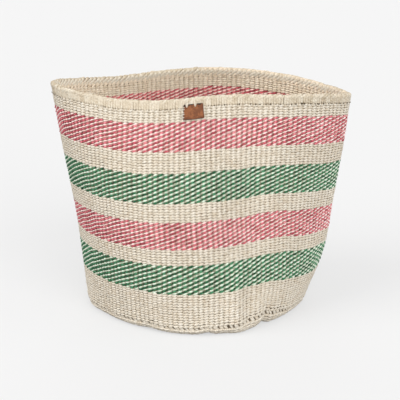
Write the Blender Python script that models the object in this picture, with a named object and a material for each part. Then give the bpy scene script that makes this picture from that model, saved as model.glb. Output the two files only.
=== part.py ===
"""Kiondo: a soft, open-topped floor basket twined from sisal cord, with a small leather label.

Units are metres and +Z is up. The origin is the middle of the underside, on the floor, and the
side with the label faces -Y.

A weaver makes this basket as one long spiral of twining. It is modelled here as what the weaver
counts: the starting knot, the flat base, the round that turns upwards, the natural and coloured
bands, the binding round and the folded hem. Each is spun as a straight ring, and is then laid on
the shape that the soft wall takes when the basket stands empty: round at the foot, wide and
nearly closed at the hem, with its front leaning back.
"""
import functools
import math

import bmesh
import bpy
from mathutils import Vector

# Twining
WALL = 0.0064            # thickness of the wall: a warp with a cord on each side
GAP = 0.0003             # clearance between neighbouring rounds

# Base
KNOT_RADIUS = 0.009
KNOT_EDGE = 0.0015       # rounding of the knot's upper edge
BASE_RADIUS = 0.132      # the base lies flat as far as this
TURN_RADIUS = 0.011      # outer radius of the turn from base to wall
TURN_ROUND = 0.0133      # length of wall in the turning round

# Bands of the wall, bottom to top: name, rows, height of a row, cord
BANDS = (
    ("wall_natural_bottom", 14, 0.00335, "natural"),
    ("wall_green_lower", 13, 0.00283, "green"),
    ("wall_natural_lower", 6, 0.00335, "natural"),
    ("wall_pink_lower", 14, 0.00241, "pink"),
    ("wall_natural_middle", 7, 0.00335, "natural"),
    ("wall_green_upper", 14, 0.00264, "green"),
    ("wall_natural_upper", 8, 0.00335, "natural"),
    ("wall_pink_upper", 14, 0.00262, "pink"),
    ("wall_natural_top", 4, 0.00335, "natural"),
)
BANDS_HEIGHT = sum(rows * row for name, rows, row, cord in BANDS)

# Hem
BINDING_ROUND = 0.00335
FOLD = 0.013             # height of the folded ends of the warps above the binding round

# Length of every warp from the edge of the flat base to the top of the hem
WALL_PATH = TURN_ROUND + BANDS_HEIGHT + BINDING_ROUND + FOLD

# Slumped shape, at five even heights from the foot to the hem. The first four are added to the
# radius of the base, as shares of it. Pinch is 1 on a round side and more on one drawn to a point.
LEFT_SHARES = (0.04, 0.10, 0.18, 0.275, 0.37)
RIGHT_SHARES = (-0.05, 0.14, 0.225, 0.31, 0.375)
FRONT_SHARES = (-0.05, -0.10, -0.20, -0.37, -0.60)
BACK_SHARES = (0.0, 0.05, 0.04, -0.05, -0.22)
FRONT_PINCH_SHARES = (1.35, 1.40, 1.45, 1.40, 1.12)
BACK_PINCH_SHARES = (1.20, 1.30, 1.40, 1.50, 1.50)
FRONT_SKEW_SHARES = (0.0, 0.22, 0.38, 0.45, 0.36)   # the right of the front leans back further
CORNER_SHARE = 0.2       # roundness left at the two ends of the hem
SLUMP_SHARE = 0.04       # height lost where the right end slumps
SLUMP_ANGLE = 8          # degrees round from the right end, where it slumps most
SLUMP_NARROWNESS = 4

# Folds of the soft wall: angle and half width in degrees, then how far
FRONT_HOLLOW = (277, 16, 0.013)
HOLLOW_REACH_SHARE = 0.45    # of the wall's length, down from the hem
HEM_DIPS = ((124, 28, 0.010), (277, 17, -0.006))
# Where the foot has lifted off the floor, and how far up the wall that is felt
FOOT_LIFTS = ((312, 18, 0.003, 0.04), (303, 18, 0.0065, 0.26), (225, 20, 0.002, 0.12))
LIFT_START = 0.014       # length of wall over which a lift begins

# Label
LABEL_WIDTH = 0.025
LABEL_HEIGHT = 0.018
LABEL_THICK = 0.0016
LABEL_CORNER = 0.0015
LABEL_BELOW_HEM = 0.0092
LABEL_ANGLE = 267        # degrees round from the right end
STITCH_RADIUS = 0.0013   # sisal cord over the label's top edge
STITCH_HOLD = 0.0042     # how far it reaches onto the leather and onto the wall
TOP_STITCH_SHARES = (-0.27, 0.14)
WHIP_RADIUS = 0.0006     # thinner cord round the label's left edge
WHIP_HOLD = 0.0018
WHIP_COUNT = 5

# Fineness of the meshes
COLUMNS = 60             # flats round the basket
WARP_STEPS = 90          # steps in which a warp's climb is added up
FACE_HEIGHT = 0.02       # height of a ring's faces, or about that
COLUMN_ANGLE = math.tau / COLUMNS

# Linear colour, roughness
FINISHES = {
    "natural": ((0.76, 0.68, 0.52), 0.9),
    "green": ((0.10, 0.30, 0.16), 0.9),
    "pink": ((0.62, 0.13, 0.19), 0.9),
    "leather": ((0.30, 0.11, 0.05), 0.6),
}


def clear_scene():
    for obj in list(bpy.data.objects):
        bpy.data.objects.remove(obj)


def new_collection(name):
    group = bpy.data.collections.new(name)
    bpy.context.scene.collection.children.link(group)
    return group


def give_finish(obj, finish):
    """A material of the object's own, in the colour of its cord or leather."""
    colour, roughness = FINISHES[finish]
    material = bpy.data.materials.new(obj.name)
    material.use_nodes = True
    shader = material.node_tree.nodes["Principled BSDF"]
    shader.inputs["Base Color"].default_value = (*colour, 1)
    shader.inputs["Roughness"].default_value = roughness
    shader.inputs["Metallic"].default_value = 0
    obj.data.materials.append(material)


def finish_mesh(bm, name, group, finish):
    """Turn a bmesh into a named object with its material."""
    bmesh.ops.recalc_face_normals(bm, faces=bm.faces)
    mesh = bpy.data.meshes.new(name)
    bm.to_mesh(mesh)
    bm.free()
    obj = bpy.data.objects.new(name, mesh)
    group.objects.link(obj)
    mesh.shade_smooth()
    mesh.set_sharp_from_angle(angle=math.radians(35))
    give_finish(obj, finish)
    return obj


# Shape of the slumped wall

def share_at(shares, height):
    """Read a smooth curve through shares that are set at even heights."""
    spans = len(shares) - 1
    place = min(max(height, 0.0), 1.0) * spans
    first = min(int(place), spans - 1)
    t = place - first
    low = shares[first]
    high = shares[first + 1]
    before = shares[first - 1] if first > 0 else 2 * low - high
    after = shares[first + 2] if first + 2 <= spans else 2 * high - low
    eased = low + (high - low) * t * t * (3 - 2 * t)
    leaving = (high - before) / 2
    arriving = (after - low) / 2
    return eased + leaving * t * (1 - t) ** 2 - arriving * t * t * (1 - t)


def nearness(angle, centre, half_width):
    """1 at a fold's centre, fading to 0 on both sides of it."""
    away = (math.degrees(angle) - centre + 180) % 360 - 180
    return math.exp(-(away / half_width) ** 2)


def outline_point(angle, height):
    """The slumped outline seen from above, at a share of the height, without the foot's turn."""
    right = math.cos(angle)
    back = math.sin(angle)
    in_front = back < 0
    width = BASE_RADIUS * (1 + share_at(RIGHT_SHARES if right > 0 else LEFT_SHARES, height))
    depth = BASE_RADIUS * (1 + share_at(FRONT_SHARES if in_front else BACK_SHARES, height))
    pinch = share_at(FRONT_PINCH_SHARES if in_front else BACK_PINCH_SHARES, height)
    skew = share_at(FRONT_SKEW_SHARES, height) if in_front else 0.0
    bulge = back * math.hypot(back, CORNER_SHARE * right) ** (pinch - 1)
    centre, half_width, depth_in = FRONT_HOLLOW
    fade = math.exp(-((1 - height) / HOLLOW_REACH_SHARE) ** 2)
    pressed = depth_in * nearness(angle, centre, half_width) * fade
    return Vector((width * right - pressed * right,
                   depth * bulge * (1 - skew * right) - pressed * back))


def plan_point(angle, path):
    """The outer face seen from above, at a length of wall past the edge of the flat base."""
    spread = TURN_RADIUS * math.sin(min(path / TURN_RADIUS, math.pi / 2))
    height = (path - spread) / (WALL_PATH - TURN_RADIUS)
    foot = outline_point(angle, 0.0)
    return outline_point(angle, height) + foot.normalized() * spread


def sunk_by(angle, path, climb):
    """How far the soft wall has sunk, less how far its foot has lifted."""
    facing = (1 + math.cos(angle - math.radians(SLUMP_ANGLE))) / 2
    sunk = SLUMP_SHARE * facing ** SLUMP_NARROWNESS * climb
    for centre, half_width, dip in HEM_DIPS:
        sunk += dip * nearness(angle, centre, half_width) * (path / WALL_PATH) ** 3
    start = 1 - math.exp(-(path / LIFT_START) ** 2)
    for centre, half_width, lift, reach in FOOT_LIFTS:
        lifted = start * math.exp(-(path / reach) ** 4)
        sunk -= lift * nearness(angle, centre, half_width) * lifted
    return sunk


@functools.lru_cache(maxsize=None)
def warp_line(angle):
    """Points up one warp. It can't stretch, so what it runs sideways it loses in height."""
    step = WALL_PATH / WARP_STEPS
    place = plan_point(angle, 0.0)
    line = [place.to_3d()]
    climb = 0.0
    for number in range(1, WARP_STEPS + 1):
        path = number * step
        ahead = plan_point(angle, path)
        sideways = (ahead - place).length
        climb += math.sqrt(max(step ** 2 - sideways ** 2, 0.0))
        place = ahead
        line.append(Vector((*place, climb - sunk_by(angle, path, climb))))
    return line


def base_point(angle, radius):
    """Point on the underside. Rounds near the knot are circles, and the last follows the foot."""
    share = radius / BASE_RADIUS
    circle = Vector((math.cos(angle), math.sin(angle), 0.0)) * BASE_RADIUS
    edge = plan_point(angle, 0.0).to_3d()
    return circle.lerp(edge, share ** 2) * share


def outer_point(angle, path):
    """Point on the outer face. A path below zero lies on the base, that far from its edge."""
    if path <= 0:
        return base_point(angle, BASE_RADIUS + path)
    place = path / WALL_PATH * WARP_STEPS
    first = min(int(place), WARP_STEPS - 1)
    line = warp_line(angle)
    return line[first].lerp(line[first + 1], place - first)


def outward(angle, path):
    """Direction square to the outer face, away from the basket."""
    side = COLUMN_ANGLE / 2
    around = outer_point(angle + side, path) - outer_point(angle - side, path)
    along = outer_point(angle, path + WALL / 2) - outer_point(angle, path - WALL / 2)
    return around.cross(along).normalized()


# Rounds and bands

def section_of(start, end, rounded):
    """Outline of a ring as (path, depth into the wall), with a round top where it is the hem."""
    top = end - WALL / 2 if rounded else end
    faces = max(1, round((top - start) / FACE_HEIGHT))
    paths = [start + (top - start) * number / faces for number in range(faces + 1)]
    outer = [(path, 0.0) for path in paths]
    inner = [(path, WALL) for path in reversed(paths)]
    if not rounded:
        return outer + inner
    turns = [math.pi * number / 4 for number in (1, 2, 3)]
    over = [(top + WALL / 2 * math.sin(turn), WALL / 2 * (1 - math.cos(turn))) for turn in turns]
    return outer + over + inner


def lay_on_wall(bm):
    """Move a straight ring, spun about Z, onto the slumped wall."""
    for vert in bm.verts:
        column = round(math.atan2(vert.co.y, vert.co.x) / COLUMN_ANGLE) % COLUMNS
        angle = column * COLUMN_ANGLE
        path = vert.co.z
        depth = BASE_RADIUS - vert.co.xy.length
        vert.co = outer_point(angle, path) - outward(angle, path) * depth


def ring(name, group, finish, start, end, rounded=False):
    """One round or band, from one length of wall to another, clear of the next one."""
    bm = bmesh.new()
    section = section_of(start, end - GAP, rounded)
    verts = [bm.verts.new((BASE_RADIUS - depth, 0.0, path)) for path, depth in section]
    for vert, after in zip(verts, verts[1:] + verts[:1]):
        bm.edges.new((vert, after))
    bmesh.ops.spin(bm, geom=bm.verts[:] + bm.edges[:], cent=(0, 0, 0), axis=(0, 0, 1),
                   dvec=(0, 0, 0), angle=math.tau, steps=COLUMNS, use_merge=True)
    lay_on_wall(bm)
    return finish_mesh(bm, name, group, finish)


def start_knot(group):
    """The crossed warps that the base is worked round, as a low disc."""
    bm = bmesh.new()
    bmesh.ops.create_cone(bm, cap_ends=True, segments=COLUMNS // 2, radius1=KNOT_RADIUS,
                          radius2=KNOT_RADIUS, depth=WALL)
    bmesh.ops.translate(bm, verts=bm.verts, vec=(0, 0, WALL / 2))
    rim = [edge for edge in bm.edges if min(vert.co.z for vert in edge.verts) > WALL / 2]
    bmesh.ops.bevel(bm, geom=rim, offset=KNOT_EDGE, offset_type="OFFSET", segments=2,
                    profile=0.5, affect="EDGES", material=-1)
    return finish_mesh(bm, "base_start_knot", group, "natural")


def base(group):
    start_knot(group)
    ring("base_disc", group, "natural", KNOT_RADIUS + GAP - BASE_RADIUS, 0.0)
    ring("base_turn_round", group, "natural", 0.0, TURN_ROUND)


def wall(group):
    """The bands, and the length of wall that they reach."""
    start = TURN_ROUND
    for name, rows, row, cord in BANDS:
        ring(name, group, cord, start, start + rows * row)
        start += rows * row
    return start


def hem(group, start):
    ring("rim_binding_round", group, "natural", start, start + BINDING_ROUND)
    ring("rim_fold", group, "natural", start + BINDING_ROUND, WALL_PATH, rounded=True)


# Label

def label_place(across, up, lift):
    """Point above the wall's own flats, measured from the middle of the label."""
    path = WALL_PATH - LABEL_BELOW_HEM - LABEL_HEIGHT / 2 + up
    middle = math.radians(LABEL_ANGLE)
    arc = outer_point(middle + COLUMN_ANGLE, path) - outer_point(middle - COLUMN_ANGLE, path)
    angle = middle + across * 2 * COLUMN_ANGLE / arc.length
    column = math.floor(angle / COLUMN_ANGLE)
    left = outer_point(column * COLUMN_ANGLE, path)
    right = outer_point((column + 1) * COLUMN_ANGLE, path)
    surface = left.lerp(right, angle / COLUMN_ANGLE - column)
    return surface + outward(angle, path) * (GAP + lift)


def cut_into_strips(bm, size, axis, strips):
    """Give a flat plate the edges that it needs to bend."""
    for number in range(1, strips):
        place = Vector((0, 0, 0))
        place[axis] = size * (number / strips - 1 / 2)
        normal = Vector((0, 0, 0))
        normal[axis] = 1
        geom = bm.verts[:] + bm.edges[:] + bm.faces[:]
        bmesh.ops.bisect_plane(bm, geom=geom, plane_co=place, plane_no=normal)


def leather_label(group):
    """A bare patch of leather that follows the wall."""
    bm = bmesh.new()
    bmesh.ops.create_cube(bm, size=1)
    bmesh.ops.scale(bm, verts=bm.verts, vec=(LABEL_WIDTH, LABEL_HEIGHT, LABEL_THICK))
    corners = [edge for edge in bm.edges if edge.verts[0].co.xy == edge.verts[1].co.xy]
    bmesh.ops.bevel(bm, geom=corners, offset=LABEL_CORNER, offset_type="OFFSET", segments=3,
                    profile=0.5, affect="EDGES", material=-1)
    cut_into_strips(bm, LABEL_WIDTH, 0, 6)
    cut_into_strips(bm, LABEL_HEIGHT, 1, 4)
    for vert in bm.verts:
        vert.co = label_place(vert.co.x, vert.co.y, vert.co.z + LABEL_THICK / 2)
    return finish_mesh(bm, "leather_label", group, "leather")


def cord_stitch(name, group, route, radius):
    """A short length of cord along its route."""
    curve = bpy.data.curves.new(name, "CURVE")
    curve.dimensions = "3D"
    curve.bevel_depth = radius
    curve.bevel_resolution = 1
    curve.use_fill_caps = True
    spline = curve.splines.new("POLY")
    spline.points.add(len(route) - 1)
    for point, place in zip(spline.points, route):
        point.co = (*place, 1)
    obj = bpy.data.objects.new(name, curve)
    group.objects.link(obj)
    give_finish(obj, "natural")
    return obj


def over_edge(hold, radius):
    """Route of a stitch over the label's edge: distance past the edge and height, wall to leather."""
    on_wall = radius
    on_leather = LABEL_THICK + GAP + radius
    steps = 6
    route = []
    for number in range(steps + 1):
        share = number / steps
        rise = min(share * 2, 1.0)
        route.append((hold * (1 - 2 * share), on_wall + (on_leather - on_wall) * rise))
    return route


def label_stitches(group):
    """Two cords over the top edge, and the turns of a thinner one round the left edge."""
    top = LABEL_HEIGHT / 2
    for number, share in enumerate(TOP_STITCH_SHARES, 1):
        across = share * LABEL_WIDTH
        sides = over_edge(STITCH_HOLD, STITCH_RADIUS)
        route = [label_place(across, top + past, lift) for past, lift in sides]
        cord_stitch(f"label_top_stitch_{number}", group, route, STITCH_RADIUS)
    edge = LABEL_WIDTH / 2
    for number in range(1, WHIP_COUNT + 1):
        up = LABEL_HEIGHT * (number / (WHIP_COUNT + 1) - 1 / 2)
        sides = over_edge(WHIP_HOLD, WHIP_RADIUS)
        route = [label_place(-edge - past, up, lift) for past, lift in sides]
        cord_stitch(f"label_side_stitch_{number}", group, route, WHIP_RADIUS)


def build():
    clear_scene()
    group = new_collection("kiondo_basket")
    base(group)
    hem(group, wall(group))
    leather_label(group)
    label_stitches(group)


build()
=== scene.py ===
# %% [markdown]
# # A kiondo basket, cord by cord
# A kiondo is twined from sisal: two cords, the wefts, pass in front of and behind each upright
# warp and swap places in every gap, in one long spiral. This script dresses the plain rings of
# the CAD frame with those cords. It works out the wall's slumped surface once, and then lays
# every cord, the folded hem and the leather label on it.

# %% Load the frame
import math

import bmesh
import bpy
import numpy as np
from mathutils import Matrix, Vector


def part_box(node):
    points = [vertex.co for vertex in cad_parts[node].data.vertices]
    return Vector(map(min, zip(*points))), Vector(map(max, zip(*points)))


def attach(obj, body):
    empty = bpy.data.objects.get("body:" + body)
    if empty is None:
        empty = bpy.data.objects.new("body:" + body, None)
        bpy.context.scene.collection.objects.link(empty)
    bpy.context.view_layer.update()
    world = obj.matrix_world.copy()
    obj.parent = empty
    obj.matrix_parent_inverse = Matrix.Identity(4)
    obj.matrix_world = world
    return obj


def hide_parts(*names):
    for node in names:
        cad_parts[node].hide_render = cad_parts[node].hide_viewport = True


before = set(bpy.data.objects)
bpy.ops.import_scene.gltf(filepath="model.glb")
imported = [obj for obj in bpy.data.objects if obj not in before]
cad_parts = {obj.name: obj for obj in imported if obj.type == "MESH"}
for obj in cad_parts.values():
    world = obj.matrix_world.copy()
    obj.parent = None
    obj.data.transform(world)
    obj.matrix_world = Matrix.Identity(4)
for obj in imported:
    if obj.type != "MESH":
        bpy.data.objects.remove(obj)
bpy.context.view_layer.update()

# %% [markdown]
# ## Camera
# A long lens from two metres away keeps the basket's sides from leaning. The camera looks
# slightly down, so that the inside of the back shows above the front of the hem.

# %% Camera
ELEVATION = math.radians(17)
DISTANCE = 2.08
LENS, SENSOR = 144, 36   # in millimetres
AIM = Vector((-0.0007, 0, 0.1368))


def add_object(name, data):
    added = bpy.data.objects.new(name, data)
    bpy.context.scene.collection.objects.link(added)
    return added


def add_camera():
    data = bpy.data.cameras.new("camera")
    data.lens = LENS
    data.sensor_width = SENSOR
    camera = add_object("camera", data)
    away = Vector((0, -math.cos(ELEVATION), math.sin(ELEVATION)))
    camera.location = AIM + away * DISTANCE
    camera.rotation_euler = (math.pi / 2 - ELEVATION, 0, 0)
    bpy.context.scene.camera = camera


add_camera()
print("camera at", [round(value, 3) for value in bpy.context.scene.camera.location])

# %% [markdown]
# ## Materials in Python
# Node trees are easier to read as sums. Wire wraps the output of a node and overloads the
# operators, so that 1 - mask * 0.5 adds its own Math nodes. Finish holds one material, and its
# add method makes every node: the settings first, then the values or links of the sockets. The
# short methods below it spell out the nodes that come back in every finish.

# %% Wires and finishes
class Wire:
    """The output of a node, with the operators that the finishes use."""

    def __init__(self, finish, socket):
        self.finish = finish
        self.socket = socket

    def __add__(self, other):
        return self.finish.maths("ADD", self, other)

    def __sub__(self, other):
        return self.finish.maths("SUBTRACT", self, other)

    def __mul__(self, other):
        return self.finish.maths("MULTIPLY", self, other)

    def __rsub__(self, other):
        return self.finish.maths("SUBTRACT", other, self)

    __radd__ = __add__
    __rmul__ = __mul__


class Finish:
    """One material and the nodes in it."""

    def __init__(self, name):
        self.material = bpy.data.materials.new(name)
        self.material.use_nodes = True
        self.tree = self.material.node_tree
        self.shader = self.tree.nodes["Principled BSDF"]

    def connect(self, socket, value):
        if isinstance(value, Wire):
            self.tree.links.new(value.socket, socket)
        elif isinstance(value, tuple) and len(value) == 3 and socket.type == "RGBA":
            socket.default_value = (*value, 1)
        else:
            socket.default_value = value

    def add(self, kind, settings, sockets, output=0):
        node = self.tree.nodes.new(kind)
        for name, value in settings.items():
            setattr(node, name, value)
        for name, value in sockets.items():
            self.connect(node.inputs[name], value)
        return Wire(self, node.outputs[output])

    def surface(self, values):
        for name, value in values.items():
            self.connect(self.shader.inputs[name], value)

    def maths(self, operation, *values):
        return self.add("ShaderNodeMath", {"operation": operation}, dict(enumerate(values)))

    def map(self, name):
        return self.add("ShaderNodeUVMap", {"uv_map": name}, {})

    def place(self):
        """Where a point lies on the basket, in metres."""
        return self.add("ShaderNodeTexCoord", {}, {}, output=3)

    def parts(self, vector):
        """The first two numbers of a vector."""
        return [self.add("ShaderNodeSeparateXYZ", {}, {"Vector": vector}, output=number)
                for number in (0, 1)]

    def blend(self, factor, first, second, way="MIX"):
        """Mix two colours, or tint the first by the second."""
        return self.add("ShaderNodeMix", {"data_type": "RGBA", "blend_type": way},
                        {0: factor, 6: first, 7: second}, output=2)

    def between(self, value, low, high):
        """0 where the value is below low, 1 where it is above high."""
        return self.add("ShaderNodeMapRange", {"interpolation_type": "SMOOTHSTEP"},
                        {"Value": value, "From Min": low, "From Max": high})

    def noise(self, vector, scale, detail=2.0):
        return self.add("ShaderNodeTexNoise", {},
                        {"Vector": vector, "Scale": scale, "Detail": detail})

    def bump(self, height, distance, strength):
        return self.add("ShaderNodeBump", {},
                        {"Height": height, "Distance": distance, "Strength": strength})


# %% [markdown]
# ## Sisal
# Sisal is a pale leaf fibre, spun by hand into a cord of two plies, with fine streaks, grooves
# where the plies meet, and slow changes of tone from leaf to leaf. The grooves get painted shade.
# Each cord carries a UV map, strand: the distance along it in metres and the share of the way
# round it. The finish is written in those two numbers, so its pattern turns with the cord, and the
# side that faces into the basket gets painted bounce light, lighter and yellower. A second map,
# stitch, holds 1 on the crest of a stitch and 0 where the cord dives between two warps, where the
# finish paints shade, and a number of the stitch's own, because no two leaves match.

# %% Sisal finish
PLY_PITCH = 0.0075       # length of cord in one turn of a ply
CORD_GRAIN = 0.004       # how far round the cord its streaks are spread, in metres
STREAK_STRETCH = 0.4     # how much slower the streaks change along the cord than round it
# Scales of the noises
STREAKS, LEAVES, PATCHES, STAINS = 900, 260, 22, 75
# What each adds to the tone of a cord, the last one being the stitch's own number
STREAK_SHARE, LEAF_SHARE, PATCH_SHARE, OWN_SHARE = 0.44, 0.32, 0.12, 0.12
TO_MIDDLE = (0.37, 0.49)     # tones over which the colour goes from dark to middle
TO_LIGHT = (0.48, 0.60)      # and from middle to light
GROOVE_SHADE_RANGE = (0.0, 0.45)        # heights of a ply between which the painted shade of its groove ends
DIVE_SHADE_RANGE = (0.30, 1.0)         # how far down a cord its painted shade starts and ends
STAINED = (0.54, 0.70)       # noise over which a stain begins
FACING_IN = (-0.1, 0.6)      # where a side takes the painted bounce light: 0 faces up or down, 1 inwards
GROOVE_SHADE_SHARE = 0.45      # how dark the painted shade in the grooves between the plies is
DIVE_SHADE_SHARE = 0.20        # how dark the painted shade is where a cord dives between two warps
# the painted shade of a dive is darker on the dyed cords
DYED_DIVE_SHADE_SHARE = 0.65
DYED_UNLIKE = 0.07       # how much more one dyed stitch differs from the next
STAIN, STAIN_SHARE = (0.93, 0.84, 0.77), 0.25    # handling leaves faint brownish patches
# painted bounce light, warm and lighter, on the side of a cord that faces into the basket
INSIDE_BOUNCE_TINT, INSIDE_BOUNCE_SHARE = (1.12, 1.07, 1.00), 0.9


def sisal(name, dark, middle, light, dive=DIVE_SHADE_SHARE, unlike=0.0):
    """A sisal cord's finish in three tones of one dye; dive sets how dark its painted shade is
    where it dives between two warps.
    """
    finish = Finish(name)
    along, around = finish.parts(finish.map("strand"))
    crest, own = finish.parts(finish.map("stitch"))
    phase = (along * (1 / PLY_PITCH) + around) * math.tau
    sine = finish.maths("SINE", phase)
    cosine = finish.maths("COSINE", phase)
    ply = finish.maths("ABSOLUTE", sine)
    spun = finish.add("ShaderNodeCombineXYZ", {}, {
        "X": along * STREAK_STRETCH, "Y": cosine * CORD_GRAIN, "Z": sine * CORD_GRAIN})
    slow = finish.add("ShaderNodeCombineXYZ", {}, {"X": along, "Y": ply * CORD_GRAIN})
    place = finish.place()
    streaks = finish.noise(spun, STREAKS, 3.0)
    tone = (streaks * STREAK_SHARE + finish.noise(slow, LEAVES) * LEAF_SHARE
            + finish.noise(place, PATCHES) * PATCH_SHARE + own * (OWN_SHARE + unlike)
            - unlike / 2)
    colour = finish.blend(finish.between(tone, *TO_MIDDLE), dark, middle)
    colour = finish.blend(finish.between(tone, *TO_LIGHT), colour, light)
    # painted shade in the grooves between the plies
    plies = finish.between(ply, *GROOVE_SHADE_RANGE)
    colour = finish.blend(plies * GROOVE_SHADE_SHARE + (1 - GROOVE_SHADE_SHARE), dark, colour)
    # painted shade where the cord dives between two warps
    dive_shade = finish.between(1 - crest, *DIVE_SHADE_RANGE)
    colour = finish.blend(dive_shade * dive, colour, dark)
    stained = finish.between(finish.noise(place, STAINS, 3.0), *STAINED)
    colour = finish.blend(stained * STAIN_SHARE, colour, STAIN, "MULTIPLY")
    # painted bounce light on the side that faces into the basket
    inside = finish.between(0 - finish.maths("SINE", around * math.tau), *FACING_IN)
    colour = finish.blend(inside * INSIDE_BOUNCE_SHARE, colour, INSIDE_BOUNCE_TINT, "MULTIPLY")
    height = finish.maths("POWER", ply, 0.6) * 0.7 + streaks * 0.5
    finish.surface({
        "Base Color": colour,
        "Roughness": 0.74 + streaks * 0.2,
        "Normal": finish.bump(height, 0.0003, 0.75),
        "Specular IOR Level": 0.35,
    })
    return finish.material


natural = sisal("natural_sisal", (0.57, 0.482, 0.365), (0.715, 0.648, 0.540),
                (0.757, 0.701, 0.609))
green = sisal("green_sisal", (0.012, 0.050, 0.022), (0.034, 0.165, 0.072), (0.085, 0.29, 0.145),
              DYED_DIVE_SHADE_SHARE, DYED_UNLIKE)
pink = sisal("pink_sisal", (0.29, 0.036, 0.050), (0.67, 0.128, 0.166), (0.86, 0.320, 0.345),
             DYED_DIVE_SHADE_SHARE, DYED_UNLIKE)
# Plain cord twined beside a dyed one takes a little of its dye
by_green = sisal("natural_by_green", (0.32, 0.40, 0.27), (0.70, 0.80, 0.64), (0.82, 0.91, 0.78),
                 dive=0.5)
by_pink = sisal("natural_by_pink", (0.62, 0.33, 0.29), (0.95, 0.72, 0.68), (0.97, 0.84, 0.80),
                dive=0.4)
# The warps are painted darker than the wefts, as painted shade at the bottom of the pits in which
# they show
warp = sisal("warp_pit_shade_sisal", (0.28, 0.215, 0.145), (0.40, 0.320, 0.225), (0.50, 0.415, 0.305))
# The rows inside the hem get a lighter copy of the plain finish, as painted light where they lie
# in shade, and the ribs and edge of the hem a darker one, as painted shade where they face up into
# the light
hem_rows_painted_light = sisal("hem_rows_painted_light_sisal", (0.46, 0.375, 0.27), (0.76, 0.685, 0.565), (0.81, 0.730, 0.630),
             dive=0.4)
hem = sisal("hem_painted_shade_sisal", (0.44, 0.355, 0.24), (0.635, 0.550, 0.428), (0.72, 0.658, 0.545),
            dive=0.7)
# The warps behind the slots of the foot and the cords in the holes of the hem are painted dark, as
# painted shade for the dark inside of those openings
shaded = sisal("shaded_sisal", (0.12, 0.090, 0.060), (0.19, 0.147, 0.098), (0.27, 0.215, 0.152))
hole_shade = sisal("hole_shade_sisal", (0.08, 0.060, 0.038), (0.13, 0.100, 0.066), (0.19, 0.150, 0.102))
print("sisal finishes:", natural.name, green.name, pink.name, by_green.name, by_pink.name,
      warp.name, hem_rows_painted_light.name, hem.name, shaded.name, hole_shade.name)

# %% [markdown]
# ## The slumped wall as a surface
# The CAD rings lie on a wall that is round at the foot and nearly closed at the hem. The same
# sizes are repeated here, and the whole outer face is worked out as one fine grid: columns go
# round the basket and steps go from the middle of the base up to the hem. A warp can't stretch,
# so what it runs sideways it loses in height. Any cord can then be placed by three numbers: how
# many columns round, how far along the warp, and how deep in the wall.

# %% Sizes of the basket
WALL = 0.0064
GAP = 0.0003
BASE_RADIUS = 0.132
KNOT_RADIUS = 0.009
TURN_RADIUS = 0.011
TURN_ROUND = 0.01665     # with the slots above it, which take the place of a row of the wall
BINDING_ROUND = 0.00335
FOLD = 0.013
# The two cords and the slot of each kind of band
PLAIN = (natural, natural, "natural_sisal")
GREEN = (green, by_green, "green_band")
PINK = (pink, by_pink, "pink_band")
# Bands, bottom to top: name, rows, height of a row, kind
BANDS = (
    ("wall_natural_bottom", 13, 0.00335, PLAIN),
    ("wall_green_lower", 13, 0.00283, GREEN),
    ("wall_natural_lower", 6, 0.00335, PLAIN),
    ("wall_pink_lower", 14, 0.00241, PINK),
    ("wall_natural_middle", 7, 0.00335, PLAIN),
    ("wall_green_upper", 14, 0.00264, GREEN),
    ("wall_natural_upper", 8, 0.00335, PLAIN),
    ("wall_pink_upper", 14, 0.00262, PINK),
    ("wall_natural_top", 4, 0.00335, PLAIN),
)
BANDS_END = TURN_ROUND + sum(rows * row for _, rows, row, _ in BANDS)
WALL_PATH = BANDS_END + BINDING_ROUND + FOLD

# The slump, in the same values as the CAD: the first four are shares of the base's radius that
# are added to it at even heights, and pinch is 1 on a round side and more on one drawn to a point
LEFT_SHARES = (0.04, 0.10, 0.18, 0.275, 0.37)
RIGHT_SHARES = (-0.05, 0.14, 0.225, 0.31, 0.375)
FRONT_SHARES = (-0.05, -0.10, -0.20, -0.37, -0.60)
BACK_SHARES = (0.0, 0.05, 0.04, -0.05, -0.22)
FRONT_PINCH_SHARES = (1.35, 1.40, 1.45, 1.40, 1.12)
BACK_PINCH_SHARES = (1.20, 1.30, 1.40, 1.50, 1.50)
FRONT_SKEW_SHARES = (0.0, 0.22, 0.38, 0.45, 0.36)
CORNER_SHARE = 0.2
SLUMP_SHARE = 0.04
SLUMP_ANGLE = math.radians(8)
SLUMP_NARROWNESS = 4
# Folds of the soft wall and lifts of its foot: angle and half width in degrees, then how far, and
# for a lift how far up the wall it is felt
FRONT_HOLLOW = (277, 16, 0.013)
HOLLOW_REACH_SHARE = 0.45    # of the height, down from the hem
HEM_DIPS = ((124, 28, 0.010), (277, 17, -0.006))
FOOT_LIFTS = ((312, 18, 0.003, 0.04), (303, 18, 0.0065, 0.26), (225, 20, 0.002, 0.12))
LIFT_START = 0.014       # length of wall over which a lift begins
print(f"warps {WALL_PATH * 1000:.1f} mm from foot to hem")


# %% The outline at any height
def share_at(shares, height):
    """Read a smooth curve through shares that are set at even heights."""
    spans = len(shares) - 1
    place = np.clip(height, 0, 1) * spans
    first = np.minimum(place.astype(int), spans - 1)
    t = place - first
    ends = np.array([2 * shares[0] - shares[1], *shares, 2 * shares[-1] - shares[-2]])
    before, low, high, after = (ends[first + number] for number in range(4))
    eased = low + (high - low) * t * t * (3 - 2 * t)
    leaving = (high - before) / 2
    arriving = (after - low) / 2
    return eased + leaving * t * (1 - t) ** 2 - arriving * t * t * (1 - t)


def nearness(angle, centre, half_width):
    """1 at a fold's centre, fading to 0 on both sides of it."""
    away = (np.degrees(angle) - centre + 180) % 360 - 180
    return np.exp(-(away / half_width) ** 2)


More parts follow.
